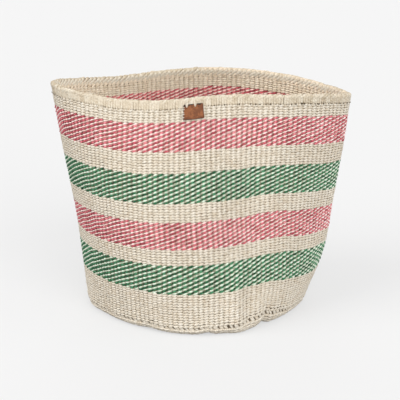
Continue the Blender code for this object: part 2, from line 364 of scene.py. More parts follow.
def outline(angle, height):
    right = np.cos(angle)
    back = np.sin(angle)
    front = back < 0

    def either(here, shares, others):
        return np.where(here, share_at(shares, height), share_at(others, height))

    width = BASE_RADIUS * (1 + either(right > 0, RIGHT_SHARES, LEFT_SHARES))
    depth = BASE_RADIUS * (1 + either(front, FRONT_SHARES, BACK_SHARES))
    pinch = either(front, FRONT_PINCH_SHARES, BACK_PINCH_SHARES)
    skew = np.where(front, share_at(FRONT_SKEW_SHARES, height), 0)
    bulge = back * np.hypot(back, CORNER_SHARE * right) ** (pinch - 1)
    centre, half_width, depth_in = FRONT_HOLLOW
    fade = np.exp(-((1 - height) / HOLLOW_REACH_SHARE) ** 2)
    pressed = depth_in * nearness(angle, centre, half_width) * fade
    return np.stack((width * right - pressed * right,
                     depth * bulge * (1 - skew * right) - pressed * back), axis=-1)


def plan(angle, path):
    """The outer face seen from above, at a length of wall past the edge of the flat base."""
    spread = TURN_RADIUS * np.sin(np.minimum(path / TURN_RADIUS, math.pi / 2))
    height = (path - spread) / (WALL_PATH - TURN_RADIUS)
    foot = outline(angle, np.zeros_like(path))
    foot /= np.linalg.norm(foot, axis=-1, keepdims=True)
    return outline(angle, height) + foot * spread[..., None]


# %% The grid of the outer face
COLUMNS = 141            # warps; an odd number makes two cords of two colours a chequerboard
STEPS = 4                # points on a cord for each column
RING = COLUMNS * STEPS
FINE = 1440              # angles at which the outline is worked out
EVENNESS = 0.9           # 0 sets the columns at even angles, 1 at even distances
EVEN_FROM = 0.09         # length of wall over which the columns even out
BACK = math.pi / 2       # each round begins at the middle of the back
WALL_STEPS = 360
STEP = WALL_PATH / WALL_STEPS
BASE_STEPS = int((BASE_RADIUS - KNOT_RADIUS / 2) / STEP)


def sunk_by(angle, path, climb):
    """How far the soft wall has sunk, less how far its foot has lifted."""
    facing = (1 + np.cos(angle - SLUMP_ANGLE)) / 2
    sunk = SLUMP_SHARE * facing ** SLUMP_NARROWNESS * climb
    for centre, half_width, dip in HEM_DIPS:
        sunk = sunk + dip * nearness(angle, centre, half_width) * (path / WALL_PATH) ** 3
    start = 1 - np.exp(-(path / LIFT_START) ** 2)
    for centre, half_width, lift, reach in FOOT_LIFTS:
        lifted = start * np.exp(-(path / reach) ** 4)
        sunk = sunk - lift * nearness(angle, centre, half_width) * lifted
    return sunk


def outer_face():
    """Points of the outer face, from the base's middle to the hem, at even angles."""
    angle = BACK + math.tau * np.arange(FINE)[:, None] / FINE
    path = np.arange(WALL_STEPS + 1)[None, :] * STEP
    path = np.broadcast_to(path, (FINE, WALL_STEPS + 1))
    flat = plan(angle, path)
    sideways = np.linalg.norm(np.diff(flat, axis=1), axis=-1)
    climb = np.zeros(path.shape)
    climb[:, 1:] = np.cumsum(np.sqrt(np.maximum(STEP ** 2 - sideways ** 2, 0)), axis=1)
    wall = np.concatenate((flat, (climb - sunk_by(angle, path, climb))[..., None]), axis=-1)
    share = 1 - np.arange(BASE_STEPS, 0, -1)[None, :, None] * STEP / BASE_RADIUS
    circle = np.stack((np.cos(angle), np.sin(angle)), axis=-1) * BASE_RADIUS
    under = (circle + (flat[:, :1] - circle) * share ** 2) * share
    under = np.concatenate((under, np.zeros((*under.shape[:2], 1))), axis=-1)
    return np.concatenate((under, wall), axis=1)


def at_columns(face):
    """The same surface, read at the columns, which a weaver keeps about evenly far apart."""
    turns = np.arange(FINE + 1) / FINE
    columns = np.arange(RING) / RING
    result = np.empty((RING, *face.shape[1:]))
    for step in range(face.shape[1]):
        loop = np.concatenate((face[:, step], face[:1, step]))
        length = np.concatenate(([0], np.cumsum(np.linalg.norm(np.diff(loop, axis=0), axis=1))))
        even = EVENNESS * min(max((step - BASE_STEPS) * STEP / EVEN_FROM, 0), 1)
        share = (1 - even) * turns + even * length / length[-1]
        for axis in range(3):
            result[:, step, axis] = np.interp(columns, share, loop[:, axis])
    return result


def unit(vectors):
    return vectors / np.maximum(np.linalg.norm(vectors, axis=-1, keepdims=True), 1e-12)


face = at_columns(outer_face())
uphill = unit(np.gradient(face, axis=1))
outward = unit(np.cross(np.roll(face, -1, axis=0) - np.roll(face, 1, axis=0), uphill))
print("outer face", face.shape, "from", face.min(axis=(0, 1)).round(4), "to",
      face.max(axis=(0, 1)).round(4))

# %% [markdown]
# ## A hand-made wall
# No row is quite level and no stretch of wall is quite flat. A few slow waves with seeded random
# directions push the wall in and out and move the rows up and down by less than a millimetre,
# and a few soft folds of two to five millimetres stand upright in it. They fade out towards the
# base, which lies flat on the floor. Here and there the foot is dented, or bulges out a little.

# %% Small unevenness
# The grid's lines: share of the way round, angle, and length of wall past the edge of the base
girth = np.arange(RING)[:, None] / RING
angle_at = BACK + math.tau * girth
path_at = (np.arange(face.shape[1])[None, :] - BASE_STEPS) * STEP
WAVE_CLIMB = (8, 60)     # how fast a wave turns on its way up, in radians for each metre
WAVE_START = 0.02        # length of wall over which the waves begin
IN_AND_OUT = 0.00035
UP_AND_DOWN = 0.00045


def waves(seed, count, longest, shortest):
    """A sum of slow waves over the wall, between about -1 and 1."""
    draw = np.random.default_rng(seed)
    total = 0
    for _ in range(count):
        rounds = draw.integers(longest, shortest)
        climb = draw.uniform(*WAVE_CLIMB)
        start = draw.uniform(0, math.tau)
        total = total + np.sin(math.tau * rounds * girth + climb * path_at + start)
    return total / math.sqrt(count) * np.clip(path_at / WAVE_START, 0, 1)


# Small folds: angle, half width in degrees, middle and half length along the warp, depth
FOLDS = (
    (288, 4.5, 0.034, 0.036, -0.0040),
    (296.5, 4.0, 0.034, 0.036, 0.0052),
    (277, 8.0, 0.190, 0.110, -0.0036),
    (299, 8.0, 0.190, 0.110, 0.0042),
    (330, 10.0, 0.190, 0.080, -0.0020),
    (238, 7.0, 0.030, 0.040, 0.0020),
)
# The foot: angle, half width in degrees, lift off the floor, push outwards
FOOT_DENTS = (
    (244, 6.0, 0.0020, 0.0),
    (274, 3.5, 0.0024, 0.0),
    (307.5, 3.2, 0.0042, -0.0016),
    (294, 6.0, 0.0, 0.0056),
    (200, 8.0, 0.0, 0.0030),
)
FOLD_START = -0.004      # where the folds begin, just inside the edge of the base
DENT_START = -0.022      # where a dent begins in the base, and its length up to its full depth
DENT_RISE = 0.026
DENT_REACH = 0.035       # how far up the wall it is felt


def folds():
    """How far the wall moves outwards at each point of the grid."""
    total = 0
    for centre, half_width, middle, half_length, depth in FOLDS:
        along = np.exp(-((path_at - middle) / half_length) ** 2)
        total = total - depth * nearness(angle_at, centre, half_width) * along
    return total * np.clip((path_at - FOLD_START) / WAVE_START, 0, 1)


def foot_dents():
    """How far the foot moves at each point of the grid, as x, y and z."""
    ramp = np.clip((path_at - DENT_START) / DENT_RISE, 0, 1)
    felt = ramp * ramp * (3 - 2 * ramp) * np.exp(-(np.maximum(path_at, 0) / DENT_REACH) ** 2)
    lifted = 0
    pushed = 0
    for centre, half_width, lift, push in FOOT_DENTS:
        near = nearness(angle_at, centre, half_width) * felt
        lifted = lifted + lift * near
        pushed = pushed + push * near
    return np.stack((pushed * np.cos(angle_at), pushed * np.sin(angle_at), lifted), axis=-1)


face = face + outward * folds()[..., None]
face = face + foot_dents()
face = face + outward * (waves(3, 9, 5, 34) * IN_AND_OUT)[..., None]
face = face + uphill * (waves(8, 9, 4, 30) * UP_AND_DOWN)[..., None]
print("hem from z", face[:, -1, 2].min().round(4), "to", face[:, -1, 2].max().round(4))


# %% Reading the grid
def read(grid, columns, path):
    """Values of the grid at any column and length of wall, between its own points."""
    across = np.mod(columns, COLUMNS) * STEPS
    left = np.floor(across).astype(int) % RING
    right = (left + 1) % RING
    share = (across - np.floor(across))[..., None]
    up = np.clip(path / STEP + BASE_STEPS, 0, grid.shape[1] - 1.001)
    low = np.floor(up).astype(int)
    rise = (up - low)[..., None]
    lower = grid[left, low] * (1 - share) + grid[right, low] * share
    upper = grid[left, low + 1] * (1 - share) + grid[right, low + 1] * share
    return lower * (1 - rise) + upper * rise


def place(columns, path, depth):
    """Points in the wall, that deep under its outer face."""
    return read(face, columns, path) - read(outward, columns, path) * depth[..., None]


# %% [markdown]
# ## Making a cord
# A cord is a tube with an oval section. A grid of faces, as wide as the cord has sides and as
# long as it has rings, is laid round the cord's centre line. Its two long edges meet and are
# merged, and the first and last rings shrink to a point, so that the tube is closed. Many short
# cords are one grid too, with the faces between one cord and the next taken out.

# %% Cords from a grid
GRAIN_SHIFT = 0.37       # metres from one cord's grain to the next one's, so that none match
BAKE_MARGIN = 0.06       # room beside each strip of the third map
SIDES = 6                # of a cord's section
FULL_SIDES = 8           # of one that turns over, as at the edge and on the label
EACH = (COLUMNS, 1)      # shape of one random value for each column
COLUMN = np.arange(COLUMNS)[:, None]


def closed_ends(shape):
    """1 along a cord and 0 at its two ends, where it shrinks to a point."""
    ends = np.ones(shape)
    ends[:, [0, -1]] = 0
    return ends


def sections(centre, side, half_wide, half_high, sides):
    """Rings of points round centre lines. half_wide lies along side, half_high across it."""
    ahead = unit(np.gradient(centre, axis=1))
    side = unit(side - ahead * np.sum(side * ahead, axis=-1, keepdims=True))
    over = np.cross(ahead, side)
    turn = math.tau * (np.arange(sides + 1) / sides - 0.25)
    turn[-1] = turn[0]
    wide = np.asarray(half_wide)[..., None, None] * np.cos(turn)[:, None]
    high = np.asarray(half_high)[..., None, None] * np.sin(turn)[:, None]
    return centre[:, :, None] + side[:, :, None] * wide + over[:, :, None] * high


def strand_maps(mesh, centre, rings, sides, stitch):
    """UV maps that the finishes read, and one with a place of its own for every face."""
    lengths = np.zeros(centre.shape[:2])
    lengths[:, 1:] = np.cumsum(np.linalg.norm(np.diff(centre, axis=1), axis=-1), axis=1)
    lengths += np.arange(len(centre))[:, None] * GRAIN_SHIFT
    corner = np.empty(len(mesh.loops), dtype=np.int32)
    mesh.loops.foreach_get("vertex_index", corner)
    ring, side = np.divmod(corner, sides + 1)
    first = ring.reshape(-1, 4).min(axis=1).repeat(4)
    per_strip = max(1, math.ceil(math.sqrt(rings * sides)))
    strip = first // per_strip
    strips = math.ceil(rings / per_strip)
    inset = BAKE_MARGIN + (1 - 2 * BAKE_MARGIN) * side / sides
    maps = {
        "strand": (lengths.ravel()[ring], side / sides),
        "stitch": stitch.reshape(-1, 2)[ring].T,
        "OFBake": ((ring - strip * per_strip) / per_strip, (strip + inset) / strips),
    }
    for name, (across, up) in maps.items():
        layer = mesh.uv_layers.new(name=name)
        layer.data.foreach_set("uv", np.stack((across, up), axis=-1).ravel())


def finish_piece(bm, name, material, nodes):
    """Turn a bmesh into a piece that rides on the basket."""
    mesh = bpy.data.meshes.new(name)
    bm.to_mesh(mesh)
    bm.free()
    mesh.shade_smooth()
    mesh.materials.append(material)
    piece = add_object(name, mesh)
    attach(piece, "root")
    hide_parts(*nodes)
    triangles = sum(len(face.vertices) - 2 for face in mesh.polygons)
    print(f"{name}: {triangles} triangles")


def cords(name, nodes, material, centre, side, half_wide, half_high, stitch=None, sides=SIDES):
    """One piece of many cords: an array of cords, of rings along them, of coordinates."""
    count, rings = centre.shape[:2]
    if stitch is None:
        own = np.random.default_rng(count).uniform(0, 1, (count, 1))
        stitch = np.stack((np.ones((count, rings)), own + np.zeros((count, rings))), axis=-1)
    points = sections(centre, side, half_wide, half_high, sides)
    bm = bmesh.new()
    bmesh.ops.create_grid(bm, x_segments=sides, y_segments=count * rings - 1, size=1)
    gaps = [face for number, face in enumerate(bm.faces) if number // sides % rings == rings - 1]
    bmesh.ops.delete(bm, geom=gaps, context="FACES_ONLY")
    mesh = bpy.data.meshes.new(name)
    bm.to_mesh(mesh)
    mesh.vertices.foreach_set("co", points.astype(np.float32).ravel())
    strand_maps(mesh, centre, count * rings, sides, stitch)
    bm.clear()
    bm.from_mesh(mesh)
    bpy.data.meshes.remove(mesh)
    bmesh.ops.remove_doubles(bm, verts=bm.verts, dist=1e-6)
    bmesh.ops.recalc_face_normals(bm, faces=bm.faces)
    finish_piece(bm, name, material, nodes)


# %% [markdown]
# ## Twining
# Two cords twine together: while one lies in front of a warp the other lies behind it, and they
# swap in the next gap. On the way over a warp a cord climbs by about a row, which gives each
# stitch its slant. The swing between front and back is a cosine with flattened tops. In a
# coloured band one cord is dyed and the other is plain, and because the number of warps is odd,
# each round starts with the other cord in front. The slanted stitches then join into diagonals.

# %% Twined cords
REACH = 0.00205          # how far a cord swings from the middle of the wall
SNAP = 1.6               # how sharply it crosses over
CORD_THICK = 0.00115     # half thickness through the wall
# Shape of a stitch, as shares of its row: its rise and fall over a warp, its half height, and
# how much of that height it keeps between two warps. The dyed cords are finer and rounder.
PLAIN_STITCH = (0.18, 0.61, 0.46)
DYED_STITCH = (0.32, 0.535, 0.28)
HEM_STITCH = (0.75, 0.60, 0.50)
OVERLAP = 1              # points by which a piece runs on into its neighbours
SPLIT = 0.5              # a turn starts half a column before its warp
SWELL = 0.25             # share by which a cord grows thicker between two warps
# Hand-made unevenness of a cord: in and out, up and down as a share of the row, in thickness
UNEVEN_REACH, UNEVEN_RISE, UNEVEN_SIZE = 0.00016, 0.055, 0.09


def knots(draw, turn, spread):
    """Random values at every half column, joined by straight lines."""
    first = math.floor(turn[0] * 2)
    values = draw.normal(0, spread, math.ceil(turn[-1] * 2) - first + 2)
    return np.interp(turn * 2, np.arange(len(values)) + first, values)


def twined_cord(name, node, material, slot, phase, seed, turn, columns, path, row,
                lowest=None, middle=WALL / 2, reach=REACH, stitch=PLAIN_STITCH):
    """One cord of a pair. turn counts the stitches that it has made."""
    climb, height, squeeze = stitch
    draw = np.random.default_rng(seed)
    swing = np.cos(math.pi * (turn + phase))
    out = reach * np.tanh(SNAP * swing) / math.tanh(SNAP) + knots(draw, turn, UNEVEN_REACH)
    rise = (climb * row * np.sin(math.pi * (turn + phase))
            + knots(draw, turn, UNEVEN_RISE * row))
    uneven = 1 + knots(draw, turn, UNEVEN_SIZE)
    uneven[[0, -1]] = 0
    plump = (squeeze + (1 - squeeze) * swing ** 2) * uneven
    thick = (1 + SWELL * (1 - swing ** 2)) * uneven
    centre = place(columns, path + rise, middle - out)
    side = read(outward, columns, path)
    if lowest is not None:
        centre[:, 2] = np.maximum(centre[:, 2], lowest)
    own = draw.uniform(0, 1, math.ceil(turn[-1] - turn[0]) + 2)
    own = own[np.floor(turn - turn[0] + 0.01).astype(int)]
    # swing squared goes to the finish as the crest, which paints shade where the cord dives
    tones = np.stack((swing ** 2, own), axis=-1)
    cords(name, [node], material, centre[None], side[None], (CORD_THICK * thick)[None],
          (height * row * plump)[None], tones[None])


def twined_pair(name, node, kind, seed, *course, **shape):
    """Both cords of a stretch. In a coloured band the first one is dyed."""
    first, second, slot = kind
    twined_cord(f"{name}_first_cord", node, first, slot, 0, seed, *course, **shape)
    twined_cord(f"{name}_second_cord", node, second, "natural_sisal", 1, seed + 1, *course,
                **shape)


def twined_rows(name, node, kind, seed, start, rows, row, first_turn,
                run_on=(OVERLAP, OVERLAP), **shape):
    """Rows of the spiral that climb from a length of wall upwards."""
    before, after = run_on
    turn = first_turn - SPLIT + np.arange(-before, rows * RING + 1 + after) / STEPS
    path = start + row * (turn - first_turn + SPLIT) / COLUMNS
    twined_pair(name, node, kind, seed, turn, turn, path, row, **shape)


start = TURN_ROUND
stitches = 0
for number, (name, rows, row, kind) in enumerate(BANDS):
    twined_rows(name, name, kind, 100 + 2 * number, start, rows, row, stitches,
                stitch=PLAIN_STITCH if kind is PLAIN else DYED_STITCH)
    start += rows * row
    stitches += rows * COLUMNS
print(stitches, "stitches in the bands")

# %% [markdown]
# ## Foot
# The base turns up into the wall over four close rounds. Above them the weaver crosses each warp
# over its neighbour, and the leaning warps leave a line of small dark slots just above the floor.
# The rounds are twined cords like the others. Each leaning warp is a short cord of its own, and
# one of every pair lies in front of the other.

# %% Turning round
TURN_ROWS, TURN_ROW = 4, 0.0032
TURN_REACH = 0.0008      # its cords are pulled flat, so that the foot is smooth
SLOT_LEAN = 0.42         # columns that a warp leans to the left across the slots
SLOT_REACH = 0.0022      # how far its ends go under the rounds above and below
SLOT_RINGS = 9
# Columns by which a leaning warp strays, and shares by which all of them are wider than written
# and one is wider than the next
SLOT_UNEVEN, SLOT_FULLER, SLOT_UNLIKE = 0.11, 0.04, 0.18
# name, lean, how far they bulge outwards, half thickness, half width, finish
LEANING_WARPS = (
    ("leaning_warps_in_front", SLOT_LEAN, 0.0013, 0.0011, 0.0020, natural),
    # painted shade: the warps behind take the dark finish, like the inside seen through the slots
    ("leaning_warps_behind", -SLOT_LEAN, -0.0002, 0.0008, 0.0036, shaded),
)


def leaning_warps(name, lean, bulge, thick, wide, material):
    draw = np.random.default_rng(205)
    share = np.linspace(0, 1, SLOT_RINGS)[None, :]
    low = TURN_ROWS * TURN_ROW - SLOT_REACH
    path = low + (TURN_ROUND + SLOT_REACH - low) * share + np.zeros(EACH)
    columns = COLUMN + lean * (1 - 2 * share) + draw.normal(0, SLOT_UNEVEN, EACH)
    centre = place(columns, path, WALL / 2 - bulge * np.sin(math.pi * share))
    ends = closed_ends(path.shape)
    wide = wide * (1 + draw.normal(SLOT_FULLER, SLOT_UNLIKE, EACH))
    cords(name, ["base_turn_round", "wall_natural_bottom"], material, centre,
          read(outward, columns, path), thick * ends, wide * ends)


twined_rows("turn_round", "base_turn_round", PLAIN, 200, 0, TURN_ROWS, TURN_ROW, 0, (0, 0),
            lowest=CORD_THICK, middle=TURN_REACH + CORD_THICK, reach=TURN_REACH)
for row_of_warps in LEANING_WARPS:
    leaning_warps(*row_of_warps)

# %% [markdown]
# ## Base
# The base grows outwards from a knot of crossed warps. As it widens the weaver adds warps, so
# that the stitches keep their length. Each zone here has its own number of columns, always odd.

# %% Base spiral
BASE_COLUMNS = (11, 17, 27, 41, 63, 95, 141)
BASE_STITCH = 0.0048     # shortest stitch that a zone may have
BASE_ROW = 0.00335


def base_spiral():
    """The turn, column and path of every point along the base."""
    count = round((BASE_RADIUS - KNOT_RADIUS) / BASE_ROW)
    pitch = (BASE_RADIUS - KNOT_RADIUS) / count
    zones, columns, path = [], [], []
    for number in range(count):
        radius = KNOT_RADIUS + number * pitch
        fitting = [zone for zone in BASE_COLUMNS if math.tau * radius / zone >= BASE_STITCH]
        zones.append(fitting[-1] if fitting else BASE_COLUMNS[0])
        share = np.arange(zones[-1] * STEPS) / (zones[-1] * STEPS)
        columns.append(share * COLUMNS)
        path.append(radius - BASE_RADIUS + pitch * share)
    print("base rounds:", zones)
    columns = np.concatenate([*columns, [0.0]])
    path = np.concatenate([*path, [0.0]])
    return -SPLIT + np.arange(len(path)) / STEPS, columns, path


twined_pair("base", "base_disc", PLAIN, 210, *base_spiral(), BASE_ROW, lowest=CORD_THICK)

# %% [markdown]
# ## Starting knot
# The basket begins with a few warps laid across each other, over and under, which the first
# round of twining locks. Two sets of short flat cords make that little patch of plain weave.
# Each is cut to the knot's circle, and its ends dive under the first round.

# %% Crossed warps
KNOT_CORDS = 4
KNOT_RINGS = 25
KNOT_WAVE = 0.0013       # how far a cord rises over one that it crosses
KNOT_THICK = 0.0012
KNOT_WIDE_SHARE = 0.46   # half width, as a share of the distance from cord to cord
RIGHT, BACKWARDS, UP = np.eye(3)


def crossed_warps(name, along, across, swap_over):
    """Parallel flat cords over and under those of the other set."""
    pitch = 2 * KNOT_RADIUS / KNOT_CORDS
    offset = (np.arange(KNOT_CORDS) - (KNOT_CORDS - 1) / 2)[:, None] * pitch
    reach = np.sqrt(KNOT_RADIUS ** 2 - offset ** 2)
    share = np.linspace(-1, 1, KNOT_RINGS)[None, :]
    run = reach * share
    number = np.arange(KNOT_CORDS)[:, None]
    wave = np.sin(math.pi * run / pitch) * (-1) ** (number + swap_over)
    height = WALL / 2 + KNOT_WAVE * wave
    centre = (run[..., None] * along + (offset + 0 * run)[..., None] * across
              + height[..., None] * UP)
    ends = closed_ends(run.shape)
    cords(name, ["base_start_knot"], natural, centre, UP + 0 * centre, KNOT_THICK * ends,
          KNOT_WIDE_SHARE * pitch * ends, sides=FULL_SIDES)


crossed_warps("knot_warps_along", RIGHT, BACKWARDS, 0)
crossed_warps("knot_warps_across", BACKWARDS, RIGHT, 1)

# %% [markdown]
# ## Warps
# The warps stand inside the wall, hidden by the cords in front of and behind them. They show only
# where two cords cross, as the bottom of a small pit. They are flat cords with few faces, wide
# enough to touch their neighbours, so that no light comes through the wall.

# %% Wall warps
WARP_WIDE = 0.0035
WARP_THICK = 0.0010
WARP_RINGS = 44
WARP_END = 0.005         # how far below the top of the hem they end


def wall_warps():
    path = np.linspace(TURN_ROUND, WALL_PATH - WARP_END, WARP_RINGS)
    path = np.broadcast_to(path, (COLUMNS, WARP_RINGS))
    columns = np.broadcast_to(COLUMN.astype(float), path.shape)
    centre = place(columns, path, np.full(path.shape, WALL / 2))
    ends = closed_ends(path.shape)
    # the warp finish is painted darker, as the shade in the pits where the warps show
    cords("wall_warps", ["wall_natural_bottom", "rim_binding_round"], warp, centre,
          read(outward, columns, path), WARP_THICK * ends, WARP_WIDE * ends)


wall_warps()

# %% [markdown]
# ## Hem
# At the top the weaver finishes the twining with a binding round, folds each warp over to the
# outside and hooks it down again, so that every column shows two upright ribs, joined at the top
# like a hairpin. Other ends go over the edge to the right, each across its neighbour, and make
# the edge look like a rope. Inside, the rows of twining go on almost to the top.

# %% Binding round and the rows behind the hem
HEM_ROWS = 3
HEM_ROW = 0.0036
HEM_MIDDLE = 0.0044      # these rows lie deeper, and leave room for the ribs outside them
HEM_REACH = 0.0009
HEM_START = -0.0004      # where they begin, above the binding

twined_rows("binding", "rim_binding_round", PLAIN, 220, BANDS_END, 1, BINDING_ROUND, stitches)
# the rows inside the hem take the finish with painted light
twined_rows("hem", "rim_fold", (hem_rows_painted_light, hem_rows_painted_light, "natural_sisal"), 222, WALL_PATH - FOLD + HEM_START,
            HEM_ROWS, HEM_ROW, stitches + COLUMNS, (2 * OVERLAP, 0),
            middle=HEM_MIDDLE, reach=HEM_REACH, stitch=HEM_STITCH)

# %% Hairpin ribs
FOLD_RINGS = 22
BINDING_SHARE = 0.4      # of the way round, where the climbing binding is level with the fold
# Half thickness through the wall, half width along the hem, and how far under the outer face
RIB_THICK, RIB_WIDE, RIB_UNDER = 0.00125, 0.00210, 0.0002
# From the top of the hem down to a hairpin's top, its radius there, and from the fold to its feet
RIB_TOP, RIB_TURN, RIB_BELOW = 0.0028, 0.0016, 0.0016
RIB_OFFSET = 0.25        # columns from the middle of a hairpin to its legs
# Length of a foot, how far it goes in, and shares by which two feet close up and get narrower
RIB_FOOT, RIB_DEEPER, RIB_CLOSER, RIB_NARROWER = 0.0028, 0.0010, 0.45, 0.55
# Unevenness of their length, place in columns, depth, and share of the width
RIB_LONGER, RIB_ASIDE, RIB_LOWER, RIB_WIDER = 0.0003, 0.035, 0.0002, 0.08


def hairpin(leg, radius, share=1):
    """Up, over a half circle and down again: length, angle turned and distance climbed."""
    length = np.linspace(0, 1, FOLD_RINGS)[None, :] * share * (2 * leg + math.pi * radius)
    turn = np.clip((length - leg) / radius, 0, math.pi)
    down = np.maximum(length - leg - math.pi * radius, 0)
    return length, turn, np.minimum(length, leg) - down + radius * np.sin(turn)


def over_binding(below):
    """Length of wall at each column that follows the binding round as it climbs."""
    return WALL_PATH - FOLD - below + BINDING_ROUND * (COLUMN / COLUMNS - BINDING_SHARE)


def hem_ribs():
    draw = np.random.default_rng(230)
    foot = over_binding(RIB_BELOW)
    top = WALL_PATH - RIB_TOP - RIB_TURN - foot + draw.normal(0, RIB_LONGER, EACH)
    _, turn, climb = hairpin(1, RIB_TURN / top.mean())
    path = foot + climb * top
    low = np.clip(1 - climb * top / RIB_FOOT, 0, 1)
    columns = (COLUMN - RIB_OFFSET * np.cos(turn) * (1 - RIB_CLOSER * low)
               + draw.normal(0, RIB_ASIDE, EACH))
    depth = RIB_THICK + RIB_UNDER + RIB_DEEPER * low ** 2 + draw.normal(0, RIB_LOWER, EACH)
    ends = closed_ends(path.shape)
    wide = RIB_WIDE * (1 - RIB_NARROWER * low) * (1 + draw.normal(0, RIB_WIDER, EACH))
    own = draw.uniform(0, 1, EACH) + 0 * path
    # 1 - low goes to the finish as the crest: painted shade on the feet, where the ribs go in
    cords("hem_ribs", ["rim_fold"], hem, place(columns, path, depth),
          read(outward, columns, path), RIB_THICK * ends, wide * ends,
          np.stack((1 - low, own), axis=-1))


hem_ribs()

# %% Rope edge
EDGE_THICK, EDGE_WIDE = 0.00120, 0.00160
EDGE_LEG = 0.0030        # how far the edge cords come down outside
# Columns that they run to the right on the way up, and still on the way down inside
EDGE_LEAN, EDGE_RUN_ON = 1.15, 1.1
EDGE_SHARE = 1.35        # length of a cord, as a share of a hairpin with two such legs
# The first quarter of the way up lies tucked in: where that ends, how much deeper it lies, and how
# dark its painted shade is
EDGE_START, EDGE_DEEPER, EDGE_TUCK_SHADE = 4, 0.0010, 0.8
# How far they stand out over the rows inside, and how far their ends go back in between these
EDGE_PROUD, EDGE_SINK = 0.0004, 0.0016
EDGE_WIDER, EDGE_NARROWER = 0.6, 0.25
# Painted shade on their tops, which face up into the light: how dark, at how many quarters of a
# turn, and over how many
EDGE_TOP_SHADE, TOP_SHADE_MIDDLE, TOP_SHADE_REACH = 0.95, 1.35, 0.5
EDGE_INSIDE_LIGHT = 1.2       # painted light on their legs inside, where they lie in shade
# Unevenness of their length, place in columns, and share of the width
EDGE_LONGER, EDGE_ASIDE, EDGE_UNLIKE = 0.0003, 0.04, 0.09


def hem_edge():
    draw = np.random.default_rng(231)
    radius = WALL / 2 - EDGE_THICK
    leg = EDGE_LEG + draw.normal(0, EDGE_LONGER, EACH)
    length, turn, climb = hairpin(leg, radius, EDGE_SHARE)
    path = WALL_PATH - EDGE_THICK - radius - EDGE_LEG + climb
    up = np.clip(length / (EDGE_LEG + radius * math.pi / 2), 0, 1)
    tucked = np.clip(1 - EDGE_START * up, 0, 1) ** 2
    inner = np.clip(length / (leg + radius * math.pi / 2) - 1, 0, 2)
    depth = (WALL / 2 - np.cos(turn) * (radius - EDGE_DEEPER * tucked)
             + EDGE_PROUD * np.clip(3 * inner, 0, 1) - EDGE_SINK * np.clip(inner - 1, 0, 1))
    columns = (COLUMN + EDGE_LEAN * (up - 1) + EDGE_RUN_ON * inner
               + draw.normal(0, EDGE_ASIDE, EACH))
    side = (read(outward, columns, path) * np.cos(turn)[..., None]
            + read(uphill, columns, path) * np.sin(turn)[..., None])
    ends = closed_ends(path.shape)
    quarters = turn / (math.pi / 2)
    spread = (1 + EDGE_WIDER * np.clip(quarters, 0, 1)
              - EDGE_NARROWER * np.clip(quarters - 1, 0, 1))
    wide = EDGE_WIDE * spread * (1 + draw.normal(0, EDGE_UNLIKE, EACH))
    # the legs inside get painted light through their own number
    own = draw.uniform(0, 1, EACH) + EDGE_INSIDE_LIGHT * np.clip(inner, 0, 1)
    # painted shade where they are tucked in and on their tops
    top_shade = EDGE_TOP_SHADE * np.exp(-((quarters - TOP_SHADE_MIDDLE) / TOP_SHADE_REACH) ** 2)
    cords("hem_edge_cords", ["rim_fold"], hem, place(columns, path, depth), side,
          EDGE_THICK * ends, wide * ends,
          np.stack((1 - EDGE_TUCK_SHADE * tucked - top_shade, own), axis=-1), FULL_SIDES)


hem_edge()

# %% Painted shade of the holes under the hem
# Half height, half width and half thickness of a hole's dark cord
HOLE_HEIGHT, HOLE_WIDE, HOLE_THICK = 0.0016, 0.00125, 0.0006
HOLE_BELOW = 0.0004      # from the fold down to the middle of the holes
HOLE_SIZES = (0.2, 1)
HOLE_CURVE = 0.7         # under 1, large holes are more frequent than small ones
# Angle and half width in degrees where the needle pulled hardest, the holes' size elsewhere, and
# what is added to it there
HOLES_WIDEST, HOLE_PLAIN, HOLE_PULLED = (316, 28), 0.62, 0.48
HOLE_LEAN, HOLE_UNEVEN = 0.06, 0.10      # columns
HOLE_RINGS = 5


def hem_hole_shades():
    """Painted shade of the holes where the needle pulled each warp through: short dark cords, some
    of them almost nothing.
    """
    draw = np.random.default_rng(232)
    share = np.linspace(-1, 1, HOLE_RINGS)[None, :]
    angle = BACK + math.tau * COLUMN / COLUMNS
    open_by = draw.uniform(*HOLE_SIZES, EACH) ** HOLE_CURVE
    open_by = open_by * (HOLE_PLAIN + HOLE_PULLED * nearness(angle, *HOLES_WIDEST))
    path = over_binding(HOLE_BELOW) + HOLE_HEIGHT * open_by * share
    columns = COLUMN + HOLE_LEAN * share + draw.normal(0, HOLE_UNEVEN, EACH)
    ends = closed_ends(path.shape)
    cords("hem_hole_shades", ["rim_fold"], hole_shade, place(columns, path, 0 * path),
          read(outward, columns, path), HOLE_THICK * ends, HOLE_WIDE * open_by * ends)


hem_hole_shades()

# %% [markdown]
# ## Label
# A small patch of tan leather is sewn to the front of the hem and left bare. It is a thin plate
# with softly rounded edges that bends with the wall. It starts as a cube, its corners and edges
# are bevelled, it is cut into strips so that it can bend, and a few faces are pushed in as the
# holes of the needle. The place of the CAD label says where it goes.

# %% Place of the label
LABEL_WIDTH = 0.025
LABEL_HEIGHT = 0.0188
LABEL_THICK = 0.0016
LABEL_BELOW_HEM = 0.0092
LABEL_MIDDLE = WALL_PATH - LABEL_BELOW_HEM - LABEL_HEIGHT / 2


def label_column():
    """The column that is nearest to the middle of the CAD label."""
    low, high = (np.array(corner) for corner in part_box("leather_label"))
    columns = np.linspace(0, COLUMNS, 20 * COLUMNS)
    middle = place(columns, np.full(columns.shape, LABEL_MIDDLE), np.zeros(columns.shape))
    return columns[np.argmin(np.linalg.norm(middle - (low + high) / 2, axis=1))]


def on_label(across, up, lift):
    """Points in front of the wall, measured from the middle of the label."""
    path = LABEL_MIDDLE + up
    near = label_column_at + np.array((-0.5, 0.5))
    left, right = place(near, np.full(2, LABEL_MIDDLE), np.zeros(2))
    columns = label_column_at + across / np.linalg.norm(right - left)
    return place(columns, path, -lift)


